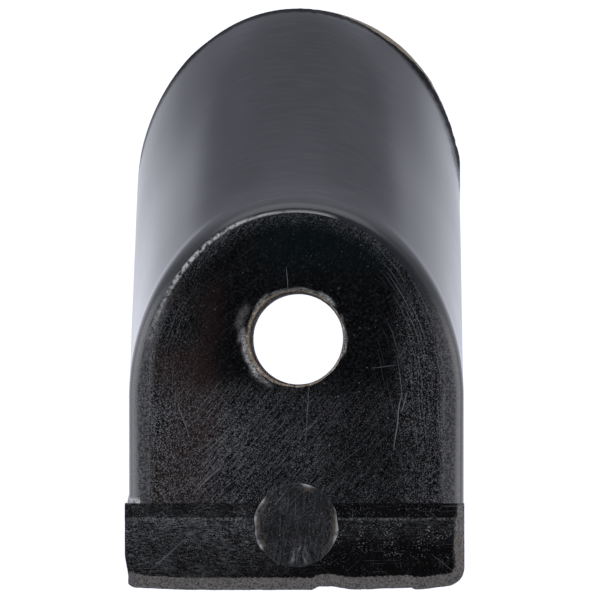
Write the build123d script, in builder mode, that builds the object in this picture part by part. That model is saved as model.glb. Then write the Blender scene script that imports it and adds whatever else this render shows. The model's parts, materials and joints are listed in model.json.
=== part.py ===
from build123d import *

import os
from math import cos, radians, sin

# Door wedge, in millimetres. A block with an arched back that leans from the thick foot end to the
# thin end. The screw hole's axis is +Z through the origin, z = 0 is the underside, and +Y points to
# the thin end.

# Driving dimensions
WIDTH = 25.4  # across the body's two flat sides
HEIGHT = 25.4  # from the underside of the pad to the worked face
LEAN = 33.0  # lean of the arched back from the vertical, in degrees
BASE_ARCH_Y = 10.9  # centre of the arch where the body meets the pad
EDGE_ROUND = 0.95  # rounding along the sides and the arch of the worked face

SEAM_Y = -12.5  # joint between the body and the foot bar
FOOT_END_Y = -19.1  # outer end of the foot bar
BAR_WIDTH = 25.8
BAR_SHIFT = -0.12  # the bar sits slightly off centre on the body
BAR_BEVEL_RUN = 1.15  # bevel on the bar's inner edge, measured along Y
BAR_BEVEL_DROP = 0.35
CORNER_LEFT = 1.0  # the bar's upright outer corners
CORNER_RIGHT = 1.5
TRIM_RUN = 0.95  # trimmed bevel around the bar's outer end and right side
TRIM_DROP = 0.6

SCREW_HOLE_R = 3.53  # inside of the sleeve, clearance for a 1/4 in screw
SLEEVE_R = 3.97  # outside of the sleeve, a 5/16 in hole in the body
SLEEVE_RECESS = 0.5  # depth of the sleeve's mouth below the worked face

PIN_R = 3.19
PIN_Y = -14.15
PIN_LENGTH = 12.0
PIN_LEAD = 0.5  # chamfer on the pin's buried end

PAD_THICKNESS = 1.0
PAD_ARCH_R = 12.02
PAD_ARCH_Y = 14.05
PAD_SHIFT = 0.3  # the pad sits slightly off centre under the body
PAD_INSET = 0.6  # the pad stops this far short of the foot bar's end
PAD_CORNER = 1.5

# Derived dimensions
half_width = WIDTH / 2
body_height = HEIGHT - PAD_THICKNESS
lean_direction = (0, -sin(radians(LEAN)), cos(radians(LEAN)))
foot_allowance = 5.0  # length beyond the seam that the seam plane cuts away
pad_end_y = FOOT_END_Y + PAD_INSET


# Body: the arched section is pushed up along the leaning axis, then cut square at the foot
with BuildPart() as wedge_body:
    with BuildSketch(Plane.XY.offset(PAD_THICKNESS)):
        with BuildLine():
            back = EllipticalCenterArc(
                (0, BASE_ARCH_Y), half_width, half_width / cos(radians(LEAN)), arc_size=180
            )
            Polyline(
                back @ 1,
                (-half_width, SEAM_Y - foot_allowance),
                (half_width, SEAM_Y - foot_allowance),
                back @ 0,
            )
        make_face()
    extrude(amount=body_height / cos(radians(LEAN)), dir=lean_direction)
    split(bisect_by=Plane.XZ.offset(-SEAM_Y), keep=Keep.BOTTOM)
    worked_face = wedge_body.faces().sort_by(Axis.Z)[-1]
    fillet(worked_face.edges().sort_by(Axis.Y)[1:], radius=EDGE_ROUND)
    with Locations((0, 0, HEIGHT)):
        Hole(radius=SLEEVE_R)
    with Locations((0, PIN_Y, HEIGHT)):
        Hole(radius=PIN_R, depth=PIN_LENGTH)

# Foot bar: square-edged, bevelled along the joint and trimmed around its outer end
with BuildPart() as foot_bar:
    with BuildSketch(Plane.YZ.offset(BAR_SHIFT)):
        with BuildLine():
            Polyline(
                (SEAM_Y, PAD_THICKNESS),
                (FOOT_END_Y, PAD_THICKNESS),
                (FOOT_END_Y, HEIGHT),
                (SEAM_Y - BAR_BEVEL_RUN, HEIGHT),
                (SEAM_Y, HEIGHT - BAR_BEVEL_DROP),
                close=True,
            )
        make_face()
    extrude(amount=BAR_WIDTH / 2, both=True)
    right_corner = foot_bar.edges().filter_by(Axis.Z).group_by(Axis.X)[-1].sort_by(Axis.Y)[0]
    fillet(right_corner, radius=CORNER_RIGHT)
    top_face = foot_bar.faces().sort_by(Axis.Z)[-1]
    end_edge = top_face.edges().sort_by(Axis.Y)[0]
    chamfer(end_edge, length=TRIM_RUN, length2=TRIM_DROP, reference=top_face)
    left_corner = foot_bar.edges().filter_by(Axis.Z).group_by(Axis.X)[0].sort_by(Axis.Y)[0]
    fillet(left_corner, radius=CORNER_LEFT)
    with Locations((0, PIN_Y, HEIGHT)):
        Hole(radius=PIN_R, depth=PIN_LENGTH)

# Foot pin: fills the round hole across the joint, flush with the worked face
with BuildPart() as foot_pin:
    with BuildSketch(Plane.XY.offset(HEIGHT)):
        with Locations((0, PIN_Y)):
            Circle(PIN_R)
    extrude(amount=-PIN_LENGTH)
    chamfer(foot_pin.edges().sort_by(Axis.Z)[0], length=PIN_LEAD)

# Bore sleeve: lines the screw hole from the underside to just below the worked face
with BuildPart() as bore_sleeve:
    with BuildSketch(Plane.XY):
        Circle(SLEEVE_R)
        Circle(SCREW_HOLE_R, mode=Mode.SUBTRACT)
    extrude(amount=HEIGHT - SLEEVE_RECESS)

# Base pad: a thin layer under the body and the foot bar, with a round end of its own
with BuildPart() as base_pad:
    with BuildSketch(Plane.XY):
        with BuildLine():
            pad_end = CenterArc((PAD_SHIFT, PAD_ARCH_Y), PAD_ARCH_R, 0, 180)
            Polyline(
                pad_end @ 1,
                (PAD_SHIFT - PAD_ARCH_R, pad_end_y),
                (PAD_SHIFT + PAD_ARCH_R, pad_end_y),
                pad_end @ 0,
            )
        make_face()
        Circle(SLEEVE_R, mode=Mode.SUBTRACT)
    extrude(amount=PAD_THICKNESS)
    fillet(base_pad.edges().filter_by(Axis.Z).group_by(Axis.Y)[0], radius=PAD_CORNER)

wedge_body.part.label = "wedge_body"
foot_bar.part.label = "foot_bar"
foot_pin.part.label = "foot_pin"
bore_sleeve.part.label = "bore_sleeve"
base_pad.part.label = "base_pad"

os.makedirs("parts", exist_ok=True)
export_step(wedge_body.part, "parts/wedge_body.step")
export_step(foot_bar.part, "parts/foot_bar.step")
export_step(foot_pin.part, "parts/foot_pin.step")
export_step(bore_sleeve.part, "parts/bore_sleeve.step")
export_step(base_pad.part, "parts/base_pad.step")
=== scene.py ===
import json
import math

import bmesh
import bpy
import numpy as np
from mathutils import Matrix, Vector, kdtree, noise


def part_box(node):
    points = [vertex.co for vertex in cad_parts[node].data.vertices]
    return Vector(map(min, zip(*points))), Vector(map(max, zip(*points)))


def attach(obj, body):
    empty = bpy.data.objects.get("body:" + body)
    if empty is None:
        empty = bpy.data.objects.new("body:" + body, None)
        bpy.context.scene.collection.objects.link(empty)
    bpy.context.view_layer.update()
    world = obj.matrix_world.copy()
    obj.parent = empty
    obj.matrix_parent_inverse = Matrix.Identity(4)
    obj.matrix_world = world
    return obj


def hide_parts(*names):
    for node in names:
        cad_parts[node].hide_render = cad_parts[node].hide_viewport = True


# Door wedge. Lengths are worked out in millimetres and written to the meshes in metres.
# The worked face looks up, the screw hole is on +Z, and the thin end points along +Y.

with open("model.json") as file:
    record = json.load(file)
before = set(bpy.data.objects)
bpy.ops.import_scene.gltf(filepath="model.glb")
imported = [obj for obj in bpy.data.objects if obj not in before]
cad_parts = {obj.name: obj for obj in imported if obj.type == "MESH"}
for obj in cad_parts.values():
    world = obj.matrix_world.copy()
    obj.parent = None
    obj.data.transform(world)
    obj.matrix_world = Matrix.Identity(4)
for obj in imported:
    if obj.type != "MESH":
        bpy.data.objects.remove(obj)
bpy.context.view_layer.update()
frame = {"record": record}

MM = 0.001  # metres in a millimetre
CREASE = 50  # an edge bent more than this many degrees is drawn sharp

# Shape of the block beyond what the frame's boxes give
LEAN = math.radians(33)  # the arched back's, from the vertical
EDGE_RUN_FLANK, EDGE_RUN_ARCH = 1.45, 0.62  # how far the rounding runs onto the face
EDGE_DROP_FLANK, EDGE_DROP_ARCH = 0.95, 1.4  # how far it runs down the flanks and the back
BEVEL_RUN, BEVEL_DROP = 1.15, 0.26  # the bar's bevel along the joint
TRIM_END, TRIM_SIDE, TRIM_DROP = 1.06, 0.75, 0.6  # the bar's trimmed rim
CORNER_LEFT, CORNER_RIGHT = 1.0, 1.5  # the bar's outer corners


def box_mm(node):
    """Lowest and highest corner of a CAD node, in millimetres."""
    low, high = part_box(node)
    return np.array(low) / MM, np.array(high) / MM


body_low, body_high = box_mm("wedge_body")
bar_low, bar_high = box_mm("foot_bar")
pin_low, pin_high = box_mm("foot_pin")
sleeve_low, sleeve_high = box_mm("bore_sleeve")
pad_low, pad_high = box_mm("base_pad")

half_width = body_high[0]
top_z = body_high[2]
base_z = body_low[2]
seam_y = body_low[1]
arch_rise = half_width / math.cos(LEAN)
base_arch_y = body_high[1] - arch_rise
bore_r = sleeve_high[0]
mount = next(m for m in frame["record"]["mounts"] if m["name"] == "screw_bore")
hole_r = mount["dims"]["r_mm"]
pin_r = (pin_high[0] - pin_low[0]) / 2
pin_centre = (pin_low + pin_high) / 2
pad_r = (pad_high[0] - pad_low[0]) / 2
pad_shift = (pad_high[0] + pad_low[0]) / 2
pad_arch_y = pad_high[1] - pad_r


# ---------------------------------------------------------------- numbers and noise

SEED_SHIFT = 17.3  # each seed reads the noise this much further on


def smooth(low, high, value):
    """0 below low, 1 above high, eased between."""
    t = np.clip((value - low) / (high - low), 0, 1)
    return t * t * (3 - 2 * t)


def grain(points, size, seed=0.0):
    """Perlin noise, about -1 to 1, with features of that size in millimetres."""
    shift = SEED_SHIFT * seed
    places = np.asarray(points) / size + (shift, -shift, 0)
    return np.array([noise.noise(Vector(place)) for place in places])


def spaced(start, end, step):
    """Numbers from start to end, evenly spaced and about a step apart."""
    count = max(2, int(round(abs(end - start) / step)) + 1)
    return np.linspace(start, end, count)


def turn_between(angle, at):
    """The turn from one bearing to another, from -180 to 180 degrees."""
    return (angle - at + 180) % 360 - 180


def full_turn(count):
    """Angles evenly spaced round a circle, in radians."""
    return np.linspace(0, 2 * math.pi, count, endpoint=False)


def directions(angles):
    """Unit vectors of the plan at those angles, in radians."""
    return np.column_stack([np.cos(angles), np.sin(angles)])


def bearings(points):
    """Angles of points in the plan seen from the screw hole's axis, in radians."""
    return np.arctan2(points[:, 1], points[:, 0])


def unit(vectors):
    """The vectors scaled to length 1."""
    return vectors / np.linalg.norm(vectors, axis=1, keepdims=True)


def lifted(plan, z):
    """Points of the plan raised to one height."""
    return np.column_stack([plan, np.full(len(plan), z)])


# ---------------------------------------------------------------- meshes


def own_values(mesh):
    """Names of the number layers that a maker put on a mesh's points."""
    return [a.name for a in mesh.attributes if a.domain == "POINT" and a.data_type == "FLOAT"]


def read_values(mesh, key):
    numbers = np.empty(len(mesh.vertices), np.float32)
    mesh.attributes[key].data.foreach_get("value", numbers)
    return numbers


def write_values(mesh, key, numbers):
    layer = mesh.attributes.get(key) or mesh.attributes.new(key, "FLOAT", "POINT")
    layer.data.foreach_set("value", np.asarray(numbers, np.float32))


def add_object(name, data):
    """A new object in the scene."""
    thing = bpy.data.objects.new(name, data)
    bpy.context.scene.collection.objects.link(thing)
    return thing


def mesh_object(name, points_mm, faces, values=None):
    """A new object from points in millimetres, with its normals facing out and values as attributes."""
    mesh = bpy.data.meshes.new(name)
    mesh.from_pydata([tuple(p) for p in np.asarray(points_mm) * MM], [], faces)
    for key, numbers in (values or {}).items():
        write_values(mesh, key, numbers)
    soup = bmesh.new()
    soup.from_mesh(mesh)
    bmesh.ops.recalc_face_normals(soup, faces=soup.faces)
    soup.to_mesh(mesh)
    soup.free()
    mesh.polygons.foreach_set("use_smooth", np.ones(len(mesh.polygons), bool))
    mesh.set_sharp_from_angle(angle=math.radians(CREASE))
    return add_object(name, mesh)


def ring_faces(around, along):
    """Quads of a grid that closes on itself both ways, like a torus."""
    i, j = np.meshgrid(np.arange(around), np.arange(along), indexing="ij")
    i2, j2 = (i + 1) % around, (j + 1) % along
    quads = np.stack([i * along + j, i2 * along + j, i2 * along + j2, i * along + j2], axis=-1)
    return quads.reshape(-1, 4).tolist()


def cut(piece, cutter):
    """Subtracts the cutter from the piece for good, and removes the cutter.

    The new points copy the values of the nearest old points.
    """
    before = piece.data
    nearby = kdtree.KDTree(len(before.vertices))
    for vertex in before.vertices:
        nearby.insert(vertex.co, vertex.index)
    nearby.balance()
    values = {key: read_values(before, key) for key in own_values(before)}
    knife = piece.modifiers.new("cut", "BOOLEAN")
    knife.operation = "DIFFERENCE"
    knife.solver = "MANIFOLD"
    knife.object = cutter
    bpy.context.view_layer.update()
    done = bpy.data.meshes.new_from_object(piece.evaluated_get(bpy.context.evaluated_depsgraph_get()))
    piece.modifiers.clear()
    source = [nearby.find(vertex.co)[1] for vertex in done.vertices]
    for key, numbers in values.items():
        write_values(done, key, numbers[source])
    done.set_sharp_from_angle(angle=math.radians(CREASE))
    piece.data = done
    bpy.data.meshes.remove(before)
    bpy.data.objects.remove(cutter)
    piece.data.name = piece.name
    return piece


# ---------------------------------------------------------------- wedge body

# Chips broken out of the hole's rim: angle and half width in degrees, reach and depth in millimetres
RIM_CHIPS = [
    (188, 22, 0.40, 0.05),
    (222, 18, 0.36, 0.05),
    (52, 12, 0.30, 0.05),
]
# Rubbed pale patches on the hole's rim: angle and half width in degrees, then radius and half width in
# millimetres, and strength
RIM_RUBS = [
    (200, 36, 3.98, 0.24, 1.0),
    (228, 18, 4.08, 0.24, 0.6),
    (158, 17, 4.42, 0.42, 0.20),
    (176, 12, 4.16, 0.24, 0.5),
    (52, 15, 3.84, 0.17, 1.0),
    (92, 36, 3.79, 0.10, 0.6),
    (135, 16, 3.88, 0.12, 0.6),
    (2, 30, 3.76, 0.09, 0.7),
]
RIM_ZONE = 1.6  # chips and rubbed patches lie within this distance of the bore
FULL_CHIP = 0.3  # a chip this deep counts as 1 in the layer that the material reads
HOLE_LIP = 0.26  # the face reaches this far in over the lining
SEAM_SPARE = 2.2  # the body's mesh runs this far past the seam before it is cut square

# The mesh is made of rings round the hole, each with points on the arch, down both flanks and on the foot
ARCH_POINTS, FLANK_POINTS, FOOT_POINTS = 240, 70, 84
# Rings on the face: distances from the lip, a number evenly spaced, and distances from the rounding
LIP_STEPS = [0, 0.06, 0.14, 0.24, 0.36, 0.5, 0.7, 0.95]
MIDDLE_RINGS = 43
EDGE_STEPS = [1.4, 1.0, 0.7, 0.45, 0.28, 0.14, 0.06, 0.0]
FACE_RINGS = len(LIP_STEPS) + MIDDLE_RINGS + len(EDGE_STEPS)
ROUND_RINGS, WALL_RINGS = 12, 77
WALL_FROM = FACE_RINGS + ROUND_RINGS
BASE_FROM = WALL_FROM + WALL_RINGS
# Rings under the base, as shares of the way in to the bore, and up the bore, as shares of its height
BASE_SHARES = [0.012, 0.03, 0.07, 0.2, 0.45, 0.75, 1.0]
BORE_SHARES = [*np.linspace(0, 0.94, 12)[1:], 0.96, 0.972, 0.981, 0.984, 0.993]
LIP_FROM = 0.983  # above this share of its height the bore narrows to the lip
MOUTH_RINGS = 4  # the bore's last rings go down with the chips
NICK_DEPTH = 0.07  # nicks along the face's edge
RIPPLE, RIPPLE_INSET = 0.018, 0.02  # ripples of the wall, set in so that they stay inside the block
FLASH_RIGHT, FLASH_LEFT = 0.30, 0.08  # the back's foot stands out this much at each side of the arch
LEDGE = 0.14  # the left flank flares out this much at the bar
TOP_BAND = 2  # the face's wear is drawn on points within this depth
# How far inside the face's edge a point counts, where that isn't measured
ROUND_GAP, WALL_GAP, UNDER_GAP, BORE_GAP = -1.6, -2.0, -40.0, 40.0


def body_outline(z):
    """The D outline at a height, its outward normals in plan, and each point's share of lean."""
    centre_y = base_arch_y - (z - base_z) * math.tan(LEAN)
    foot_y = seam_y - SEAM_SPARE
    turn = np.linspace(0, math.pi, ARCH_POINTS)
    arch = np.column_stack([half_width * np.cos(turn), centre_y + arch_rise * np.sin(turn)])
    arch_out = np.column_stack([arch_rise * np.cos(turn), half_width * np.sin(turn)])
    down = np.linspace(0, 1, FLANK_POINTS + 2)[1:-1, None]
    corner = np.array([half_width, foot_y + EDGE_RUN_FLANK])
    left = arch[-1] + down * (corner * (-1, 1) - arch[-1])
    right = corner + down * (arch[0] - corner)
    across = np.linspace(-1, 1, FOOT_POINTS)
    foot = np.column_stack([across * (half_width - EDGE_RUN_FLANK), np.full(FOOT_POINTS, foot_y)])
    outline = np.concatenate([arch, left, foot, right])
    out = np.concatenate([arch_out, left * 0 + (-1, 0), foot * 0 + (0, -1), right * 0 + (1, 0)])
    lean = np.concatenate([np.sin(turn), np.zeros(len(left) + len(foot) + len(right))])
    return outline, unit(out), lean


def rim_chip(angle_deg, radius, rough):
    """How deep the hole's rim is chipped at a place on the face, in millimetres."""
    depth = np.zeros_like(radius)
    for at, half, reach, deep in RIM_CHIPS:
        off = turn_between(angle_deg, at)
        q = (off / half) ** 2 + ((radius - bore_r + HOLE_LIP / 2) / reach) ** 2 + 0.9 * rough
        depth = np.maximum(depth, deep * smooth(1.0, 0.35, q))
    return depth


def rim_rubs(points, on_top):
    """How strongly the hole's rim is rubbed pale at each point, 0 to 1."""
    radius, angle = np.hypot(points[:, 0], points[:, 1]), np.degrees(bearings(points))
    rubbed = np.zeros_like(radius)
    near = np.flatnonzero((radius < bore_r + RIM_ZONE) & on_top)
    radius, angle = radius[near], angle[near]
    drawn = grain(np.column_stack([directions(np.radians(angle)) * 3, radius * 2]), 0.55, 10)
    for at, half, middle, width, strength in RIM_RUBS:
        off = turn_between(angle, at) / half
        spread = np.abs(radius - middle - 0.08 * drawn) / width
        patch = smooth(1.0, 0.4, np.abs(off)) * smooth(1.3, 0.2, spread) * (0.8 + 0.5 * drawn)
        rubbed[near] = np.maximum(rubbed[near], strength * patch)
    return rubbed


def body_zones(points, gap):
    """Where each kind of wear and the painted edge highlights lie on the body, 0 to 1: layers that its
    material reads.
    """
    x, y, z = points.T
    on_top = z > top_z - TOP_BAND
    # Rubbed haze: at both sides of the face, over its lower part, and along its edge
    left = smooth(-5.4, -11.0, x) * (0.34 + 0.66 * smooth(-1.8, -6.2, y))
    low = smooth(-2.4, -5.4, y) * (0.40 + 0.26 * smooth(-1.5, -7.0, x)) * (1 - 0.45 * smooth(0.8, 4.0, x))
    right = smooth(6.8, 8.8, x) * (0.34 + 0.24 * smooth(6.0, 0.0, y))
    edge = 0.34 * smooth(1.5, 0.0, gap) + 1.35 * smooth(0.7, -0.3, gap) * smooth(3.0, -3.0, y)
    haze = np.maximum.reduce([left, low, right, edge]) * (1 + 0.4 * grain(points, 3.2, 6))
    # Hatching below the hole, and scratches that follow the outline at both sides
    hatch = smooth(-2.6, -4.4, y) * smooth(3.4, 1.4, x) * smooth(-11.0, -8.5, x)
    hatch *= smooth(-0.35, 0.15, grain(points, 3.0, 7))
    follow_right = smooth(5.6, 8.2, x) * smooth(8.0, 5.0, y)
    follow_left = 0.5 * smooth(-6.6, -9.2, x) * smooth(7.0, 3.0, y)
    follow = smooth(-9.5, -6.0, y) * np.maximum(follow_right, follow_left)
    # Tints: brownish at the left, greenish towards the arch
    brown = smooth(-4.6, -7.0, x) * smooth(-12.0, -10.0, x) * smooth(6.5, 3.0, y)
    brown = brown * smooth(-0.3, 0.3, grain(points, 4.0, 8))
    green = 0.8 * smooth(3.0, 7.0, y) * smooth(-5.0, -1.0, x)
    # The rounding is rubbed matt, most of all along the flanks
    flank = smooth(4.5, 0.0, y)
    band = smooth(0.75, -0.25, gap) * smooth(-1.9, -1.3, gap) * (0.10 + 0.85 * flank)
    # The bright ragged line on the arch's edge, a painted edge highlight and partly a pale scratch, widens
    # and moves inward towards the left
    to_left = smooth(-1.0, -5.5, x)
    line = smooth(1.0, 0.3, np.abs(gap + 0.12 * to_left + 0.06) / (0.10 + 0.12 * to_left))
    line *= smooth(3.4, 2.2, x) * (0.45 * smooth(-2.0, 2.0, y) + 0.55 * smooth(2.5, 5.5, y))
    # A painted highlight where the left flank's ledge at the bar faces up and catches light
    ledge = smooth(seam_y + 0.55, seam_y + 0.1, y) * smooth(-11.6, -11.9, x) * smooth(22, 24, z)
    zones = {
        "rim_rub": rim_rubs(points, on_top),
        "haze": haze,
        "hatch": hatch,
        "follow": follow,
        "brown": brown,
        "green": green,
        "band": band,
        "line": line + ledge,
        "line_ragged": to_left,
    }
    return {key: value * on_top for key, value in zones.items()}


def lip_radius(bearing):
    """Radius of the face's lip at each bearing, as a share of the bore's.

    The thin lip hangs over the lining, except at the left where it is worn away.
    """
    ragged = 0.07 * grain(lifted(directions(bearing) * 4, 0), 0.8, 9)
    degrees = np.degrees(bearing) % 360
    worn_away = smooth(105, 150, degrees) * smooth(258, 222, degrees)
    return 1 - (HOLE_LIP * (1 - 0.5 * worn_away) + ragged) / bore_r


def body_rings():
    """The body's grid of points, how far inside the face's edge each lies, and the wall's normals.

    The rings go from the lip over the face, down the wall, in under the base and up the bore.
    """
    outline, out, lean = body_outline(top_z)
    base, _, _ = body_outline(base_z)
    count = len(outline)
    # The rounding runs further onto the face along the flanks than at the top of the arch
    edge = outline - out * (EDGE_RUN_FLANK + (EDGE_RUN_ARCH - EDGE_RUN_FLANK) * lean)[:, None]
    corner, foot_point, face_end = lifted(outline, top_z), lifted(base, base_z), lifted(edge, top_z)
    down = unit(foot_point - corner)
    wall_start = corner + down * (EDGE_DROP_FLANK + (EDGE_DROP_ARCH - EDGE_DROP_FLANK) * lean)[:, None]
    side = lifted(np.column_stack([-out[:, 1], out[:, 0]]), 0)
    wall_out = unit(np.cross(side, -down))

    bearing = bearings(edge)
    lip = lip_radius(bearing)
    base_rim = directions(bearing) * bore_r
    radial = edge - base_rim * lip[:, None]
    reach = np.linalg.norm(radial, axis=1)

    # Face: from the lip out to the start of the rounding, closely ruled at both ends
    gaps = [reach - step for step in LIP_STEPS]
    for share in np.linspace(0, 1, MIDDLE_RINGS + 2)[1:-1]:
        gaps.append((reach - LIP_STEPS[-1]) * (1 - share) + EDGE_STEPS[0] * share)
    gaps += [np.full(count, back) for back in EDGE_STEPS]
    rings = [lifted(edge - radial * (gap / reach)[:, None], top_z) for gap in gaps]
    # Rounding: a curve from the face to the wall that leaves both without a crease
    for turn in np.linspace(0, 1, ROUND_RINGS + 1)[1:]:
        rings.append((1 - turn) ** 2 * face_end + 2 * turn * (1 - turn) * corner + turn**2 * wall_start)
        gaps.append(np.full(count, ROUND_GAP * turn))
    # Wall: straight down the lean to the base
    start = rings[-1]
    for share in np.linspace(0, 1, WALL_RINGS + 1)[1:]:
        rings.append(start + (foot_point - start) * share)
        gaps.append(np.full(count, WALL_GAP) - share * body_high[2])
    for share in BASE_SHARES:
        rings.append(lifted(base + (base_rim - base) * share, base_z))
        gaps.append(np.full(count, UNDER_GAP))
    for share in BORE_SHARES:
        narrow = lip if share > LIP_FROM else np.ones(count)
        rings.append(lifted(base_rim * narrow[:, None], base_z + (top_z - base_z) * share))
        gaps.append(np.full(count, BORE_GAP))
    return np.stack(rings, axis=1), np.stack(gaps, axis=1), wall_out


def wear_face(points, gap, ring, slow):
    """Wears the face hollow, chips the hole's rim and nicks the edge. Returns how chipped each point is."""
    on_face = ring < FACE_RINGS
    quick = grain(points, 0.55, 2)
    radius, angle = np.hypot(points[:, 0], points[:, 1]), np.degrees(bearings(points))
    depth = np.where(on_face & (radius < bore_r + RIM_ZONE), rim_chip(angle, radius, quick), 0)
    fine = grain(points, 0.16, 3)
    lower = depth * (1 + 0.5 * fine) + on_face * (0.012 + 0.010 * slow + 0.004 * quick)
    z = points[:, 2]
    z -= np.where(on_face, np.maximum(lower, 0), 0)
    rim_depth = rim_chip(angle, np.full(len(points), bore_r), quick)
    z -= np.where(ring > ring.max() - MOUTH_RINGS, rim_depth, 0)
    nick = smooth(0.35, 0.75, grain(points, 0.8, 4)) * smooth(0.5, 0.0, np.abs(gap))
    z -= NICK_DEPTH * (nick * (ring < FACE_RINGS + ROUND_RINGS // 2))
    return depth / FULL_CHIP


def wear_wall(points, ring, slow, normals):
    """Gives the wall its faint ripples, the back its ragged foot, and the left flank a ledge at the bar."""
    x, y, z = points.T
    wall = (ring >= WALL_FROM) & (ring < BASE_FROM)
    points += normals * (np.where(wall, RIPPLE * slow - RIPPLE_INSET, 0))[:, None]
    low = smooth(0.40, 0.22, z - base_z) * (wall | (ring == BASE_FROM))
    around = np.degrees(np.arctan2(y - base_arch_y, x))
    flash = FLASH_RIGHT * smooth(-4, 14, around) * smooth(62, 44, around)
    flash += FLASH_LEFT * smooth(118, 128, around) * smooth(176, 160, around)
    ragged = (0.01 + 0.07 * np.clip(grain(points, 0.45, 5) + 0.25, 0, 1)) * smooth(110, 70, around)
    outward = normals * (1, 1, 0)
    points += outward * (low * (flash - ragged) / np.linalg.norm(outward + 1e-9, axis=1))[:, None]
    np.clip(x, -half_width, half_width, out=x)
    flare = smooth(seam_y + 0.75, seam_y + 0.1, y) * smooth(-half_width + 0.9, -half_width, x)
    x -= LEDGE * flare * smooth(top_z - 5, top_z - 2, z)


def make_body():
    grid, gap, wall_out = body_rings()
    count, rings = gap.shape
    points, gap = grid.reshape(-1, 3), gap.reshape(-1)
    ring = np.tile(np.arange(rings), count)
    slow = grain(points, 5.0, 1)
    chips = wear_face(points, gap, ring, slow)
    wear_wall(points, ring, slow, np.repeat(wall_out, rings, axis=0))
    points[:, 1] = np.minimum(points[:, 1], body_high[1])
    points[:, 2] = np.clip(points[:, 2], base_z, top_z)
    values = {"edge_gap": gap, "chip": chips, **body_zones(points, gap)}
    return mesh_object("wedge_body_moulding", points, ring_faces(count, rings), values)


def block(name, low, high):
    """A plain box used only as a cutter."""
    soup = bmesh.new()
    bmesh.ops.create_cube(soup, size=1)
    mesh = bpy.data.meshes.new(name)
    soup.to_mesh(mesh)
    soup.free()
    low, high = np.array(low) * MM, np.array(high) * MM
    for vertex in mesh.vertices:
        vertex.co = Vector(low + (np.array(vertex.co) + 0.5) * (high - low))
    return add_object(name, mesh)


def pin_cutter():
    """The round hole that the pin fills, as a cutter."""
    count = 96
    circle = directions(full_turn(count)) * pin_r + pin_centre[:2]
    points = np.concatenate([lifted(circle, pin_low[2]), lifted(circle, top_z + 1)])
    walls = [(i, (i + 1) % count, (i + 1) % count + count, i + count) for i in range(count)]
    caps = [tuple(range(count)), tuple(range(count, 2 * count))]
    return mesh_object("pin_cutter", points, walls + caps)


wedge = make_body()
wedge = cut(wedge, block("seam_cutter", [-20, seam_y - 5, -5], [20, seam_y, 40]))
wedge = cut(wedge, pin_cutter())


# ---------------------------------------------------------------- foot bar

# The bar's lattice, in millimetres: finer towards the trimmed end and near the face
BAR_COLUMNS = 172
TRIM_ZONE = 1.3
BAR_ROW, TRIM_ROW = 0.13, 0.1
TOP_ZONE = 1.4
TOP_LEVELS, LOWER_LEVELS = 13, 44


def lattice_skin(xs, ys, zs):
    """The closed quad skin of a box lattice: its points and faces."""
    shape = (len(xs), len(ys), len(zs))
    i, j, k = np.meshgrid(*(np.arange(n) for n in shape), indexing="ij")
    outer = (i == 0) | (i == shape[0] - 1) | (j == 0) | (j == shape[1] - 1) | (k == 0) | (k == shape[2] - 1)
    number = np.full(shape, -1)
    number[outer] = np.arange(outer.sum())
    points = np.column_stack([xs[i[outer]], ys[j[outer]], zs[k[outer]]])
    faces = []
    for axis in range(3):
        for end in (0, -1):
            sheet = np.moveaxis(number, axis, 0)[end]
            quads = np.stack([sheet[:-1, :-1], sheet[1:, :-1], sheet[1:, 1:], sheet[:-1, 1:]], axis=-1)
            faces += quads.reshape(-1, 4).tolist()
    return points, faces


def round_corner(points, corner, inward, radius):
    """Bends a square corner of the plan into a quarter circle, without folding the grid."""
    a = 1 - (points[:, 0] - corner[0]) * inward[0] / radius
    b = 1 - (points[:, 1] - corner[1]) * inward[1] / radius
    near = (a > 0) & (b > 0)
    a, b = a[near], b[near]
    bent_a = a * np.sqrt(1 - b * b / 2)
    bent_b = b * np.sqrt(1 - a * a / 2)
    points[near, 0] = corner[0] + (1 - bent_a) * radius * inward[0]
    points[near, 1] = corner[1] + (1 - bent_b) * radius * inward[1]


def end_notch(x):
    """How far the trimmed end is cut back at each x, in millimetres."""
    step = 0.27 * smooth(1.1, 1.8, x) * (1 - 0.85 * smooth(2.5, 4.3, x))
    slant = 0.12 * smooth(4.5, 8.6, x) * (1 - smooth(8.7, 9.0, x)) + 0.24 * smooth(9.2, 11.6, x)
    left = 0.16 * smooth(-8.0, -12.0, x)
    return step + slant + left


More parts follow.
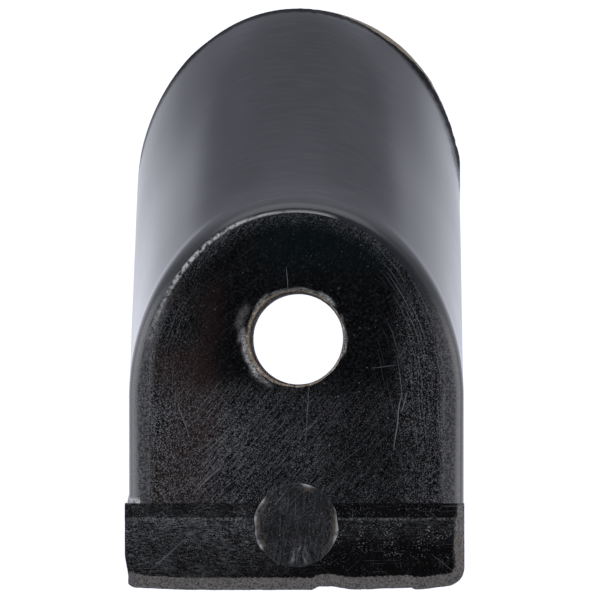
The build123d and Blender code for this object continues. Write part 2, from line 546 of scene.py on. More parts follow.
def make_bar():
    (left, end, base), right = bar_low, bar_high[0]
    xs = np.linspace(left, right, BAR_COLUMNS)
    ys = spaced(seam_y, end + TRIM_ZONE, BAR_ROW)
    ys = np.concatenate([ys, spaced(end + TRIM_ZONE, end, TRIM_ROW)[1:]])
    depth = np.linspace(0, TOP_ZONE, TOP_LEVELS)
    depth = np.concatenate([depth, np.linspace(TOP_ZONE, top_z - base, LOWER_LEVELS)[1:]])
    points, faces = lattice_skin(xs, ys, top_z - depth)
    round_corner(points, (right, end), (-1, 1), CORNER_RIGHT)
    round_corner(points, (left, end), (1, 1), CORNER_LEFT)
    x, y, z = points.T
    outer = smooth(seam_y, end, y)
    y += outer * end_notch(x)

    rough = grain(points, 0.7, 11)
    fine = grain(points, 0.2, 12)
    broad = grain(points, 3.5, 13)
    # The trimmed rim: distance in from the end and the right side, over the rim's own width
    from_end = y - end - end_notch(x)
    from_right = right - x
    corner_gap = CORNER_RIGHT - np.hypot(*np.minimum([from_right - CORNER_RIGHT, from_end - CORNER_RIGHT], 0))
    from_edge = np.minimum.reduce([from_end, from_right, corner_gap])
    at_side = from_right < from_end
    width = np.where(at_side, TRIM_SIDE, TRIM_END) * (1 + 0.35 * smooth(-11.4, -12.8, x))
    width = width * (0.9 + 0.5 * np.where(at_side, grain(points, 1.6, 14), 0.15 * rough))
    trim = from_edge / width + 0.10 * rough + 0.08 * fine
    trimmed = smooth(1.06, 0.94, trim)
    fall = TRIM_DROP * np.clip(1 - from_edge / width, 0, 1) * 0.8
    # The face: bevelled along the joint, worn, and falling away at the rim
    joint_gap = seam_y - y
    bevel = BEVEL_DROP * np.clip(1 - joint_gap / BEVEL_RUN, 0, 1)
    wear = 0.016 + 0.012 * broad + 0.010 * rough + 0.006 * fine
    top_drop = np.maximum(bevel + wear, 0) + fall + trimmed * (0.05 + 0.045 * fine + 0.03 * rough)
    share = 1 - (top_z - z) / (top_z - base)
    z -= np.maximum(top_drop, 0) * share**6
    # The walls waver a little, and more where they were trimmed
    high = smooth(base, top_z, z)
    y += outer**8 * (0.02 + (0.03 * rough + 0.02 * fine) * (0.4 + 0.6 * high))
    side = smooth(0.3, 0, np.minimum(right - x, x - left))
    x -= np.sign(x) * side * (0.03 + 0.03 * broad + 0.012 * fine)
    x += 0.26 * side * smooth(-16.2, -18.2, y) * (x < 0)
    np.clip(y, end, seam_y, out=y)
    return mesh_object("foot_bar_strip", points, faces, {"trim": trim, "joint_gap": joint_gap})


bar = cut(make_bar(), pin_cutter())


# ---------------------------------------------------------------- foot pin

# Burrs that stand up around the pin's head: angle and half width in degrees
PIN_BURRS = [(-6, 38), (178, 28), (148, 14), (74, 13), (208, 12)]
# Outline of the pin from its buried end up: shares of its radius, and depths below the worked face
PIN_WALL = [(0.84, pin_high[2] - pin_low[2]), (1.0, 11.5)]
PIN_WALL += [(1.0, depth) for depth in np.linspace(10.5, 0.6, 16)] + [(0.992, 0.22)]
PIN_RIM = [(0.98, 0.10), (0.998, 0.045), (1.0, 0.015), (0.988, 0.0), (0.965, 0.0), (0.94, 0.015)]
PIN_DISH = 0.03  # the pin's head is this much below the worked face


def make_pin():
    count = 220
    turn = full_turn(count)
    burr = np.zeros(count)
    for at, half in PIN_BURRS:
        burr = np.maximum(burr, smooth(1, 0.2, np.abs(turn_between(np.degrees(turn), at)) / half))
    circle = directions(turn)
    wobble = grain(lifted(circle * 3, 0), 0.9, 21)
    rim = pin_r * (1 + 0.019 * wobble) + 0.05 * burr * wobble
    rings = [lifted(circle * pin_r * share, top_z - depth) for share, depth in PIN_WALL]
    rings += [lifted(circle * (rim * share)[:, None], top_z - depth) for share, depth in PIN_RIM]
    rings += [lifted(circle * pin_r * share, top_z - PIN_DISH) for share in np.linspace(0.90, 0.02, 44)]
    rows = len(rings)
    # Two single points close the ends
    bottom, top, last = rows * count, rows * count + 1, (rows - 1) * count
    points = np.concatenate([*rings, [[0, 0, pin_low[2]], [0, 0, top_z - PIN_DISH]]])
    points[:, :2] += pin_centre[:2]
    faces = []
    for low in range(0, last, count):
        high = low + count
        for i in range(count):
            nxt = (i + 1) % count
            faces.append((low + i, low + nxt, high + nxt, high + i))
    faces += [((i + 1) % count, i, bottom) for i in range(count)]
    faces += [(last + i, last + (i + 1) % count, top) for i in range(count)]
    edge = np.hypot(*(points[:, :2] - pin_centre[:2]).T) / pin_r
    around = np.concatenate([np.tile(burr, rows), [0, 0]])
    # The head is worn into shallow hollows, and the burrs stand clear of them
    face = smooth(top_z - 0.3, top_z - 0.1, points[:, 2])
    hollow = 0.02 + 0.018 * grain(points, 1.6, 22) + 0.006 * grain(points, 0.25, 23)
    points[:, 2] -= face * hollow * (1 - around * smooth(0.9, 1.0, edge))
    points[:, 2] = np.minimum(points[:, 2], top_z)
    return mesh_object("foot_pin_head", points, faces, {"pin_edge": edge, "burr": around})


pin = make_pin()


# ---------------------------------------------------------------- bore sleeve


def sleeve_profile():
    """Radius and height round the lining's wall: up the outside, over the lip and down the inside."""
    low, high = sleeve_low[2], sleeve_high[2]
    profile = [(bore_r - 0.12, low), (bore_r, low + 0.12)]
    profile += [(bore_r, low + (high - low) * share) for share in np.linspace(0.02, 0.96, 22)]
    profile += [(bore_r, high - 0.18), (bore_r - 0.02, high - 0.05), (bore_r - 0.12, high)]
    profile += [(bore_r - 0.22, high - 0.02), (hole_r + 0.12, high - 0.10), (hole_r + 0.02, high - 0.30)]
    profile += [(hole_r, high - 0.5 - (high - low - 0.7) * share) for share in np.linspace(0, 1, 60)]
    return profile + [(hole_r + 0.1, low)]


def make_sleeve():
    count = 288
    circle = directions(full_turn(count))
    profile = sleeve_profile()
    high = sleeve_high[2]
    points = np.stack([lifted(circle * r, z) for r, z in profile], axis=1).reshape(-1, 3)
    radius = np.hypot(points[:, 0], points[:, 1])
    rough = grain(points, 0.5, 31)
    fine = grain(points, 0.16, 32)
    # The lip is torn, and the inside wall swells and is rough
    top = smooth(high - 1.6, high, points[:, 2])
    points[:, 2] -= top * np.clip(0.25 + rough, 0, 1) * 0.32
    inner = smooth(bore_r - 0.1, hole_r + 0.05, radius)
    swell = inner * (0.012 * rough + 0.010 * fine) * (1 - 0.3 * top) + 0.012 * inner
    points[:, :2] *= (1 + swell / radius)[:, None]
    return mesh_object("bore_sleeve_lining", points, ring_faces(count, len(profile)))


sleeve = make_sleeve()


# ---------------------------------------------------------------- base pad

PAD_CORNER = 1.5
PAD_TUCK = 0.06  # the pad draws in this much along the right of the arch, where a narrow strip of it shows
PAD_STEP = 0.3  # spacing of the outline's points along its straight sides
# Outline of the pad's edge from the underside up: distances in from the outline, and heights
PAD_EDGE = [(0.16, 0), (0.05, 0.06), (0.03, 0.25), (0.05, 0.5), (0.03, 0.75), (0.05, 0.92)]
PAD_EDGE += [(0.12, pad_high[2])]
# Rings of points on the top, as shares of the way in to the hole
PAD_TOP = [0.01, 0.02, 0.035, 0.055, 0.08, 0.12, 0.2, 0.35, 0.5, 0.7, 0.85, 1.0]


def pad_outline():
    """The pad's outline: the arch, then down the left side, round the foot and up the right."""
    arch = (pad_shift, pad_arch_y) + pad_r * directions(np.linspace(0, math.pi, 190))
    low_y = pad_low[1]
    left, right = pad_shift - pad_r, pad_shift + pad_r
    down = spaced(pad_arch_y, low_y + PAD_CORNER, PAD_STEP)[1:]
    foot_x = spaced(left + PAD_CORNER, right - PAD_CORNER, PAD_STEP)
    bend = np.linspace(0, math.pi / 2, 9)[1:-1]
    along, across = PAD_CORNER * np.cos(bend), PAD_CORNER * np.sin(bend)
    return np.concatenate([
        arch,
        np.column_stack([np.full(len(down), left), down]),
        np.column_stack([left + PAD_CORNER - along, low_y + PAD_CORNER - across]),
        np.column_stack([foot_x, np.full(len(foot_x), low_y)]),
        np.column_stack([right - PAD_CORNER + across, low_y + PAD_CORNER - along]),
        np.column_stack([np.full(len(down), right), down[::-1]]),
    ])


def make_pad():
    outline = pad_outline()
    side = np.roll(outline, -1, axis=0) - np.roll(outline, 1, axis=0)
    out = unit(np.column_stack([side[:, 1], -side[:, 0]]))
    out *= np.sign(np.sum(out * (outline - (0, 4)), axis=1, keepdims=True))
    spot = lifted(outline, 0)
    waver = 0.05 * grain(spot, 1.1, 41) + 0.03 * grain(spot, 0.35, 42)
    around = np.degrees(np.arctan2(outline[:, 1] - pad_arch_y, outline[:, 0] - pad_shift))
    tuck = PAD_TUCK * smooth(6, 26, around) * smooth(88, 66, around)
    rim = directions(bearings(outline)) * bore_r
    thick = pad_high[2]
    rings = []
    for back, z in PAD_EDGE:
        rings.append(lifted(outline - out * (back + 0.05 + tuck + waver * (1 - 0.3 * z))[:, None], z))
    lowest, highest = rings[0][:, :2], rings[-1][:, :2]
    rings += [lifted(highest + (rim - highest) * share, thick) for share in PAD_TOP]
    rings.append(lifted(rim, thick / 2))
    rings += [lifted(rim + (lowest - rim) * share, 0) for share in [0.0, *np.linspace(0.05, 0.97, 30)]]
    points = np.stack(rings, axis=1).reshape(-1, 3)
    rough = grain(points, 0.45, 43)
    points[:, 2] -= smooth(0.9, 1.0, points[:, 2]) * np.clip(0.03 + 0.04 * rough, 0, 1)
    points[:, 2] = np.clip(points[:, 2], 0, thick)
    return mesh_object("base_pad_layer", points, ring_faces(len(outline), len(rings)))


pad = make_pad()


# ---------------------------------------------------------------- materials


class Look:
    """A procedural material being built. Its coordinates are millimetres in the part's own frame."""

    def __init__(self, name):
        self.material = bpy.data.materials.new(name)
        self.material.use_nodes = True
        self.tree = self.material.node_tree
        self.shader = next(n for n in self.tree.nodes if n.type == "BSDF_PRINCIPLED")
        place = self.add("ShaderNodeTexCoord")
        self.mm = self.vector("SCALE", place.outputs["Object"], scale=1 / MM)
        split = self.add("ShaderNodeSeparateXYZ", {"Vector": self.mm})
        self.x, self.y, self.z = split.outputs[0], split.outputs[1], split.outputs[2]

    def add(self, kind, inputs=None, **settings):
        node = self.tree.nodes.new(kind)
        for key, value in settings.items():
            setattr(node, key, value)
        for key, value in (inputs or {}).items():
            self.feed(node.inputs[key], value)
        return node

    def feed(self, socket, value):
        if isinstance(value, bpy.types.NodeSocket):
            self.tree.links.new(value, socket)
        elif isinstance(value, tuple) and len(value) == 3 and socket.type == "RGBA":
            socket.default_value = (*value, 1)
        else:
            socket.default_value = value

    def math(self, operation, *values, clamp=False):
        node = self.add("ShaderNodeMath", dict(enumerate(values)), operation=operation, use_clamp=clamp)
        return node.outputs[0]

    def vector(self, operation, *values, scale=None):
        node = self.add("ShaderNodeVectorMath", dict(enumerate(values)), operation=operation)
        if scale is not None:
            node.inputs["Scale"].default_value = scale
        return node.outputs[0]

    def most(self, *values):
        value = values[0]
        for other in values[1:]:
            value = self.math("MAXIMUM", value, other)
        return value

    def both(self, *values):
        value = values[0]
        for other in values[1:]:
            value = self.math("MULTIPLY", value, other)
        return value

    def line(self, value, slope, start):
        return self.math("MULTIPLY_ADD", value, slope, start)

    def step(self, value, low, high, start=0.0, end=1.0):
        """Eases from start to end as value goes from low to high."""
        inputs = {0: value, 1: low, 2: high, 3: start, 4: end}
        return self.add("ShaderNodeMapRange", inputs, interpolation_type="SMOOTHSTEP").outputs[0]

    def near(self, value, middle, outer, inner):
        """1 where value is within inner of middle, easing to 0 at outer."""
        return self.step(self.math("ABSOLUTE", self.line(value, 1.0, -middle)), outer, inner)

    def mix(self, share, first, second):
        """A colour between two colours."""
        node = self.add("ShaderNodeMix", data_type="RGBA")
        self.feed(node.inputs[0], share)
        self.feed(node.inputs[6], first)
        self.feed(node.inputs[7], second)
        return node.outputs[2]

    def blend(self, share, first, second):
        """A number between two numbers."""
        return self.add("ShaderNodeMix", {0: share, 2: first, 3: second}).outputs[0]

    def turned(self, turn):
        """The millimetre coordinates turned about Z, so that the direction at turn degrees lies on +X."""
        spin = (0, 0, math.radians(-turn))
        return self.add("ShaderNodeMapping", {"Vector": self.mm, "Rotation": spin}).outputs[0]

    def noise(self, size, detail=2.0, rough=0.5, seed=0.0, at=None):
        """Soft noise from 0 to 1 whose features are about size millimetres across."""
        inputs = {"Vector": at or self.mm, "W": seed, "Scale": 1 / size}
        inputs.update({"Detail": detail, "Roughness": rough})
        return self.add("ShaderNodeTexNoise", inputs, noise_dimensions="4D").outputs[0]

    def streaks(self, turn, length, width, low, high, seed):
        """Short irregular strokes of about that length and width, lying along the direction turn."""
        at = self.vector("MULTIPLY", self.turned(turn), (1 / length, 1 / width, 1 / width))
        return self.step(self.noise(1.0, 2.0, 0.6, seed, at), low, high)

    def attribute(self, name):
        return self.add("ShaderNodeAttribute", attribute_name=name).outputs["Fac"]

    def pair(self, first, second):
        """A place in the plan made of two numbers."""
        return self.add("ShaderNodeCombineXYZ", {0: first, 1: second}).outputs[0]

    def chance(self, first, second):
        """An even random number from 0 to 1 for each pair of whole numbers."""
        at = self.pair(first, second)
        return self.add("ShaderNodeTexWhiteNoise", {"Vector": at}, noise_dimensions="2D").outputs[0]

    def specks(self, size, radius, share, seed):
        """Small round specks, each on or off by chance."""
        at = self.vector("ADD", self.mm, (seed * 3.7, seed * 1.9, 0))
        cells = self.add("ShaderNodeTexVoronoi", {"Vector": at, "Scale": 1 / size})
        dot = self.step(cells.outputs["Distance"], radius / size, radius / size * 0.4)
        hue = self.add("ShaderNodeSeparateColor", {0: cells.outputs["Color"]})
        shown = self.math("LESS_THAN", hue.outputs[0], share)
        return self.both(dot, shown, self.line(hue.outputs[1], 0.8, 0.2))

    def lanes(self, across, along, row, line, length, share, seed):
        """Fine scratches that run along one coordinate, at most one in each row of the other."""
        place = self.math("DIVIDE", across, row)
        lane = self.math("FLOOR", place)
        inside = self.math("FRACT", place)
        shift = self.chance(lane, seed)
        run = self.math("ADD", self.math("DIVIDE", along, length), self.math("MULTIPLY", shift, 9.0))
        piece = self.math("FLOOR", run)
        middle = self.line(self.chance(lane, seed + 5.0), 0.6, 0.2)
        away = self.math("ABSOLUTE", self.math("SUBTRACT", inside, middle))
        mark = self.step(away, line / row, line / row * 0.3)
        luck = self.chance(lane, self.math("ADD", piece, seed * 31.0))
        shown = self.math("LESS_THAN", luck, share)
        ends = self.math("SINE", self.math("MULTIPLY", self.math("FRACT", run), math.pi))
        return self.both(mark, shown, ends, self.line(luck, 0.7 / share, 0.3))

    def scratches(self, turn, row, line, length, share, seed, sway=0.5):
        """Nearly straight scratches along the direction turn. All lengths are in millimetres."""
        at = self.add("ShaderNodeSeparateXYZ", {0: self.turned(turn)})
        bent = self.line(self.noise(6.0, 1.0, seed=seed), sway, at.outputs[1])
        return self.lanes(bent, at.outputs[0], row, line, length, share, seed)

    def stroke(self, start, end, width, wobble):
        """One scratch from start to end in the plan, bent a little by the noise wobble."""
        length = math.dist(start, end)
        ux, uy = (end[0] - start[0]) / length, (end[1] - start[1]) / length
        along = self.line(self.x, ux, self.line(self.y, uy, -start[0] * ux - start[1] * uy))
        off = self.line(self.x, uy, self.line(self.y, -ux, start[1] * ux - start[0] * uy))
        off = self.math("ABSOLUTE", self.line(wobble, 0.22, off))
        share = self.math("DIVIDE", along, length, clamp=True)
        ends = self.math("SINE", self.math("MULTIPLY", share, math.pi))
        return self.both(self.step(off, width, width * 0.35), self.math("POWER", ends, 0.6))

    def finish(self, colour, roughness, height, depth_mm, ior=1.5):
        """Sets the shader from a colour, a roughness and a bump height."""
        bump = self.add("ShaderNodeBump", {"Height": height, "Distance": depth_mm * MM})
        self.feed(self.shader.inputs["Base Color"], colour)
        self.feed(self.shader.inputs["Roughness"], roughness)
        self.feed(self.shader.inputs["IOR"], ior)
        self.feed(self.shader.inputs["Normal"], bump.outputs[0])
        return self.material


PALE_WEAR = (0.135, 0.136, 0.148)  # black plastic rubbed to pale grey

# Single scratches on the worked face: start, end, half width in millimetres, and strength
FACE_SCRATCHES = [
    ((-0.74, 5.45), (-0.62, 3.7), 0.04, 0.7),
    ((8.0, -3.9), (7.35, -8.6), 0.055, 0.9),
    ((8.45, -4.0), (7.95, -5.7), 0.05, 0.8),
    ((5.6, -2.3), (7.7, -2.0), 0.035, 0.5),
    ((-8.9, -5.2), (-8.1, -7.6), 0.045, 0.7),
    ((-8.0, -11.9), (-5.4, -9.4), 0.05, 0.8),
    ((1.0, -3.2), (0.7, -8.0), 0.035, 0.6),
]


def face_wear(look, gap):
    """How pale the worked face is rubbed, 0 to 1: haze drawn out in fine strokes, scratches and specks."""
    haze = look.attribute("haze")
    # The strokes stand upright at the sides and slant below the hole
    sides = look.step(look.math("ABSOLUTE", look.x), 6.0, 9.0)
    slanting = look.streaks(50, 1.5, 0.085, 0.44, 0.72, 42)
    upright = look.streaks(91, 1.7, 0.085, 0.44, 0.72, 41)
    strokes = look.both(look.blend(sides, slanting, upright), look.blend(sides, 0.50, 0.26))
    specked = look.step(look.noise(0.075, 1.0, 0.5, 15), 0.50, 0.68)
    worn = look.both(look.line(haze, 1.0, 0.032), look.line(specked, 1.15, strokes))
    # Parallel hatching, crossing scratches, and scratches that follow the outline at the sides
    hatch = look.both(look.scratches(50, 0.37, 0.036, 4.2, 0.75, 1.0, 0.3), look.attribute("hatch"), 0.50)
    lower = look.step(look.y, -3.0, -7.0, 0.08, 0.34)
    crossing = look.both(look.scratches(36, 0.9, 0.034, 3.6, 0.5, 7.0, 0.4), lower)
    bent_gap = look.line(look.noise(4.0, 1.0, seed=43), 0.8, gap)
    lanes = look.lanes(bent_gap, look.y, 0.30, 0.038, 4.2, 0.50, 3.0)
    marks = look.most(hatch, crossing, look.both(lanes, look.attribute("follow"), 0.66))
    wobble = look.line(look.noise(1.3, 1.0, seed=44), 1.0, -0.5)
    for start, end, width, strength in FACE_SCRATCHES:
        marks = look.most(marks, look.both(look.stroke(start, end, width, wobble), strength))
    dots = look.both(look.specks(0.34, 0.075, 0.34, 1.0), look.step(haze, 0.0, 0.5, 0.22, 0.75))
    sparse = look.both(look.specks(0.55, 0.080, 0.46, 2.0), look.step(look.y, 7.0, -6.0, 0.42, 0.75))
    return look.math("ADD", worn, look.most(marks, look.most(dots, sparse)), clamp=True)


def face_colour(look, worn):
    """Mottled black with a brown and a green tint, rubbed pale where it is worn."""
    mottle = look.step(look.noise(0.17, 2.0, 0.6, 14), 0.44, 0.68)
    face = look.mix(mottle, (0.0006, 0.0006, 0.0009), (0.0080, 0.0088, 0.0105))
    face = look.mix(look.attribute("brown"), face, (0.0125, 0.0068, 0.0062))
    green = look.both(look.attribute("green"), look.line(mottle, -0.8, 1.0))
    face = look.mix(green, face, (0.0018, 0.0044, 0.0050))
    return look.mix(worn, face, PALE_WEAR)


def back_finish(look, gap, cloud):
    """Colour and roughness of the moulded back: marks along the arch, cloudy polish, a few scuffs and a
    painted highlight by the face's edge.
    """
    marks = look.noise(1.0, 3.0, 0.6, 7, look.pair(look.both(look.x, 0.35), look.both(look.z, 5.0)))
    back = look.mix(cloud, (0.0045, 0.0055, 0.0095), (0.0105, 0.0115, 0.0165))
    back = look.mix(look.both(look.step(marks, 0.44, 0.64), 0.40), back, (0.0290, 0.0300, 0.0360))
    scuff_zone = look.both(look.near(look.x, -10.1, 1.3, 0.4), look.near(look.z, 9.5, 2.2, 0.8))
    scuffs = look.both(look.scratches(60, 0.5, 0.11, 1.3, 0.6, 61.0), scuff_zone, 0.5)
    back = look.mix(scuffs, back, (0.001, 0.001, 0.001))
    back = look.mix(look.both(look.specks(2.3, 0.09, 0.02, 12.0), 0.5), back, (0.35, 0.36, 0.38))
    # A faint painted highlight beside the face's edge, a pale halo on the back
    back = look.mix(look.step(gap, -5.0, -2.4, 0.0, 0.035), back, (0.30, 0.30, 0.32))
    return back, look.line(marks, 0.03, look.line(cloud, 0.10, 0.15))


def rubbed_edges(look, gap, colour):
    """Adds the rubbed rounding, the bright line on the arch (a painted edge highlight, partly a pale scratch)
    and the hole's rim to a colour.

    Also gives how strongly the rounding and the hole's rim are rubbed.
    """
    rubbed = look.step(look.noise(0.11, 2.0, 0.65, 17), 0.40, 0.64, 0.25, 1.35)
    scuff = look.both(look.attribute("band"), look.blend(look.step(gap, -1.1, -0.5), 0.65, rubbed))
    colour = look.mix(look.both(scuff, 0.48), colour, (0.150, 0.144, 0.152))
    ragged = look.step(look.noise(0.26, 3.0, 0.65, 16), 0.40, 0.60)
    whole = look.step(look.noise(0.9, 2.0, 0.5, 46), 0.25, 0.45, 0.35, 1.0)
    line = look.both(look.attribute("line"), look.blend(look.attribute("line_ragged"), whole, ragged), 0.90)
    # Painted highlight: the arch's edge line and the flank's ledge are coloured pale
    colour = look.mix(line, colour, (0.52, 0.52, 0.53))
    smear = look.noise(0.13, 2.0, 0.6, 48)
    broken = look.both(look.attribute("rim_rub"), look.step(smear, 0.34, 0.60, 0.55, 1.0))
    rim = look.mix(look.step(smear, 0.36, 0.64), (0.20, 0.19, 0.19), (0.42, 0.42, 0.43))
    return look.mix(broken, colour, rim), scuff, broken


def body_look():
    look = Look("black_moulding")
    gap = look.attribute("edge_gap")
    on_face = look.step(gap, -0.05, 0.05)
    cloud = look.noise(5.0, 3.0, 0.55, 8)
    worn = face_wear(look, gap)
    back, back_rough = back_finish(look, gap, cloud)
    colour = look.mix(on_face, back, face_colour(look, worn))
    colour, scuff, broken = rubbed_edges(look, gap, colour)
    rough = look.blend(on_face, back_rough, look.line(worn, 0.35, look.line(cloud, 0.10, 0.17)))
    rough = look.math("MAXIMUM", rough, look.both(look.most(broken, look.both(scuff, 0.8)), 0.6))
    # The back's polish is duller low on its sides, and a ragged line of painted shadow runs round its foot,
    # where the moulding's lower edge lies in shade
    aside = look.math("ABSOLUTE", look.x)
    dull = look.both(look.step(aside, 3.6, 7.0), look.step(aside, 11.0, 8.8))
    dull = look.both(dull, look.step(look.z, 17.0, 5.0, 0.22, 0.52))
    polish = look.both(look.line(dull, -1.0, 1.0), look.step(aside, 10.4, 11.8, 0.5, 0.66))
    ragged_z = look.line(look.noise(0.5, 2.0, 0.6, 49), 0.5, look.z)
    foot = look.both(look.step(ragged_z, base_z + 0.85, base_z + 0.60), look.step(look.y, 2.0, 8.0))
    # Painted shadow: the ragged line round the back's foot is coloured near black
    colour = look.mix(look.both(foot, 0.9), colour, (0.0015, 0.0014, 0.0016))
    polish = look.blend(on_face, look.both(polish, look.line(foot, -0.8, 1.0)), 0.5)
    look.feed(look.shader.inputs["Specular IOR Level"], polish)
    fine = look.noise(0.12, 2.0, 0.6, 9)
    flat = look.both(fine, look.line(on_face, 0.06, 0.02))
    relief = look.line(look.attribute("chip"), look.both(fine, 1.5), flat)
    return look.finish(colour, rough, relief, 0.03, 1.46)


def bar_wear(look, gap):
    """How pale the bar's face is, 0 to 1: rubbed haze, dust and scratches, with painted highlight on the
    ridge, painted shade on the bevel and painted light at the joint.
    """
    # Haze: more at the left, and most along the ridge beside the bevel, drawn out along the bar; on the ridge
    # it is partly a painted highlight where the ridge catches light
    level = look.step(look.x, 3.5, -7.0, 0.0, 0.36)
    ridge = look.step(gap, BEVEL_RUN - 0.12, BEVEL_RUN + 0.05)
    ridge = look.both(ridge, look.step(gap, 3.6, BEVEL_RUN + 0.3))
    # Painted shade: the bevel is kept less pale, as it slopes away from the light
    bevel = look.step(gap, BEVEL_RUN, BEVEL_RUN - 0.2)
    bevel = look.both(bevel, look.step(look.x, 2.0, -9.0, 0.06, 0.16))
    haze = look.line(ridge, look.step(look.x, 4.0, -6.0, 0.22, 0.24), level)
    haze = look.math("SUBTRACT", haze, bevel)
    # Painted light: the face is paler right at the joint, lifting the shade there
    haze = look.line(look.step(gap, 0.4, 0.0), 0.25, haze)
    patchy = look.step(look.noise(1.6, 2.0, seed=24), 0.3, 0.7, 0.6, 1.3)
    haze = look.both(haze, look.step(gap, 6.0, 4.4, 0.55, 1.0), patchy)
    dashes = look.streaks(0, 0.42, 0.085, 0.45, 0.68, 51)
    grit = look.step(look.noise(0.09, 2.0, 0.6, 25), 0.46, 0.68)
    worn = look.both(haze, look.line(dashes, 0.7, look.both(grit, 0.75)), 1.05)
    # Bright specks on the ridge, partly painted highlight where the ridge catches light
    ridge_highlight_and_specks = look.near(gap, BEVEL_RUN + 0.05, 0.16, 0.04)
    ridge_highlight_and_specks = look.both(ridge_highlight_and_specks, look.step(look.noise(0.22, 3.0, 0.7, 26), 0.44, 0.62))
    dust = look.step(look.noise(0.105, 1.0, 0.5, 52), 0.595, 0.66)
    dust = look.both(dust, look.step(gap, 5.8, BEVEL_RUN, 0.14, 1.0))
    dust = look.both(dust, look.step(gap, BEVEL_RUN - 0.2, BEVEL_RUN, 0.45, 1.0))
    dust = look.both(dust, look.step(look.noise(1.1, 2.0, 0.5, 53), 0.38, 0.62, 0.2, 1.2))
    scored = look.most(
        look.scratches(42, 1.6, 0.036, 2.6, 0.3, 11.0),
        look.scratches(-34, 2.3, 0.036, 3.6, 0.28, 12.0),
        look.scratches(1, 0.5, 0.036, 1.6, 0.3, 13.0, 0.2),
    )
    wobble = look.line(look.noise(1.3, 1.0, seed=27), 1.0, -0.5)
    single = look.most(
        look.stroke((10.2, -16.3), (12.2, -17.9), 0.04, wobble),
        look.stroke((-10.9, -17.4), (-8.4, -15.3), 0.10, wobble),
        look.stroke((10.9, -12.72), (12.3, -12.72), 0.07, 0.0),
    )
    marks = [(ridge_highlight_and_specks, 0.55), (dust, 0.85), (scored, 0.16), (single, 0.34)]
    return look.math("ADD", worn, look.most(*(look.both(*mark) for mark in marks)), clamp=True)


def bar_look():
    look = Look("black_bar")
    worn = bar_wear(look, look.attribute("joint_gap"))
    face = look.mix(look.noise(0.6, 3.0, seed=23), (0.0008, 0.0008, 0.0010), (0.0030, 0.0029, 0.0034))
    face = look.mix(worn, face, PALE_WEAR)
    # The trimmed rim is matt, speckled grey with brown stains
    trim = look.line(look.noise(0.22, 3.0, 0.7, 21), 0.50, look.attribute("trim"))
    trimmed = look.both(look.step(trim, 1.28, 1.22), look.step(look.z, top_z - 1.1, top_z - 0.5))
    pale = look.step(look.noise(0.13, 3.0, 0.65, 28), 0.34, 0.60)
    cut_face = look.mix(pale, (0.022, 0.020, 0.020), (0.152, 0.139, 0.136))
    stain = look.step(look.noise(0.6, 2.0, seed=29), 0.56, 0.72)
    stain = look.both(stain, look.step(look.x, 0.5, 3.0, 0.25, 1.0))
    cut_face = look.mix(look.both(stain, 0.6), cut_face, (0.110, 0.078, 0.054))
    rough = look.line(worn, 0.35, look.line(look.noise(0.8, 3.0, 0.6, 30), 0.12, 0.19))
    rough = look.math("MAXIMUM", rough, look.both(trimmed, 0.85))
    fine = look.noise(0.11, 3.0, 0.7, 22)
    relief = look.both(fine, look.step(look.attribute("trim"), 1.1, 0.9, 0.12, 1.5))
    return look.finish(look.mix(trimmed, face, cut_face), rough, relief, 0.05)


def pin_fan(look):
    """A small fan of bright strokes near the outer side of the pin's head."""
    fan_x = look.math("SUBTRACT", look.x, 0.25)
    fan_y = look.math("SUBTRACT", look.y, pin_centre[1] - 0.2)
    bearing = look.math("ARCTAN2", fan_x, look.both(fan_y, -1.0))
    swirl = look.line(look.noise(0.7, 2.0, seed=39), 3.0, look.both(bearing, 9.0))
    blades = look.noise(1.0, 2.0, 0.6, 32, look.pair(swirl, look.both(fan_y, 0.5)))
    inside = look.both(
        look.step(look.math("ABSOLUTE", bearing), 0.42, 0.16),
        look.step(fan_y, -1.2, -1.6),
        look.step(fan_y, -2.9, -2.4),
    )
    return look.both(look.step(blades, 0.46, 0.62), inside)


def pin_wear(look):
    """How pale the pin's head is rubbed, 0 to 1."""
    level = look.step(look.noise(1.6, 2.0, 0.5, 36), 0.3, 0.7, 0.15, 0.36)
    grit = look.step(look.noise(0.09, 2.0, 0.6, 37), 0.46, 0.68)
    strokes = look.streaks(82, 1.1, 0.085, 0.45, 0.68, 38)
    worn = look.both(level, look.line(grit, 1.0, look.both(strokes, 0.5)), 1.05)
    upper = look.step(look.y, pin_centre[1] - 0.2, pin_centre[1] + 1.2)
    upper = look.both(upper, look.step(look.x, 1.0, -0.6))
    scored = look.most(
        look.both(look.scratches(48, 0.34, 0.036, 2.0, 0.6, 21.0, 0.4), upper),
        look.both(look.scratches(86, 0.55, 0.036, 1.6, 0.35, 22.0, 0.4), 0.7),
    )
    marks = [(scored, 0.62), (look.specks(0.32, 0.08, 0.3, 9.0), 0.60), (pin_fan(look), 0.75)]
    return look.math("ADD", worn, look.most(*(look.both(*mark) for mark in marks)), clamp=True)


def pin_look():
    look = Look("black_pin")
    edge = look.attribute("pin_edge")
    burr = look.attribute("burr")
    worn = pin_wear(look)
    face = look.mix(look.noise(0.5, 3.0, seed=31), (0.0040, 0.0040, 0.0050), (0.0090, 0.0090, 0.0105))
    face = look.mix(worn, face, PALE_WEAR)
    # The burrs round the head are broken bright, with a brownish band inside them
    ragged = look.step(look.noise(0.35, 3.0, 0.6, 33), 0.34, 0.58, 0.25, 1.0)
    lip = look.step(edge, look.line(burr, -0.055, 0.965), 0.99)
    lip = look.both(lip, look.line(burr, 0.9, 0.10), ragged)
    inner = look.both(look.step(edge, 0.82, 0.90), look.step(edge, 0.975, 0.92), burr, ragged)
    colour = look.mix(look.both(inner, 0.45), face, (0.15, 0.118, 0.098))
    colour = look.mix(look.both(lip, 0.9), colour, (0.34, 0.345, 0.365))
    rough = look.line(look.most(worn, lip), 0.3, look.line(look.noise(0.7, 3.0, 0.6, 34), 0.12, 0.22))
    return look.finish(colour, rough, look.both(look.noise(0.1, 2.0, seed=35), 0.2), 0.03)


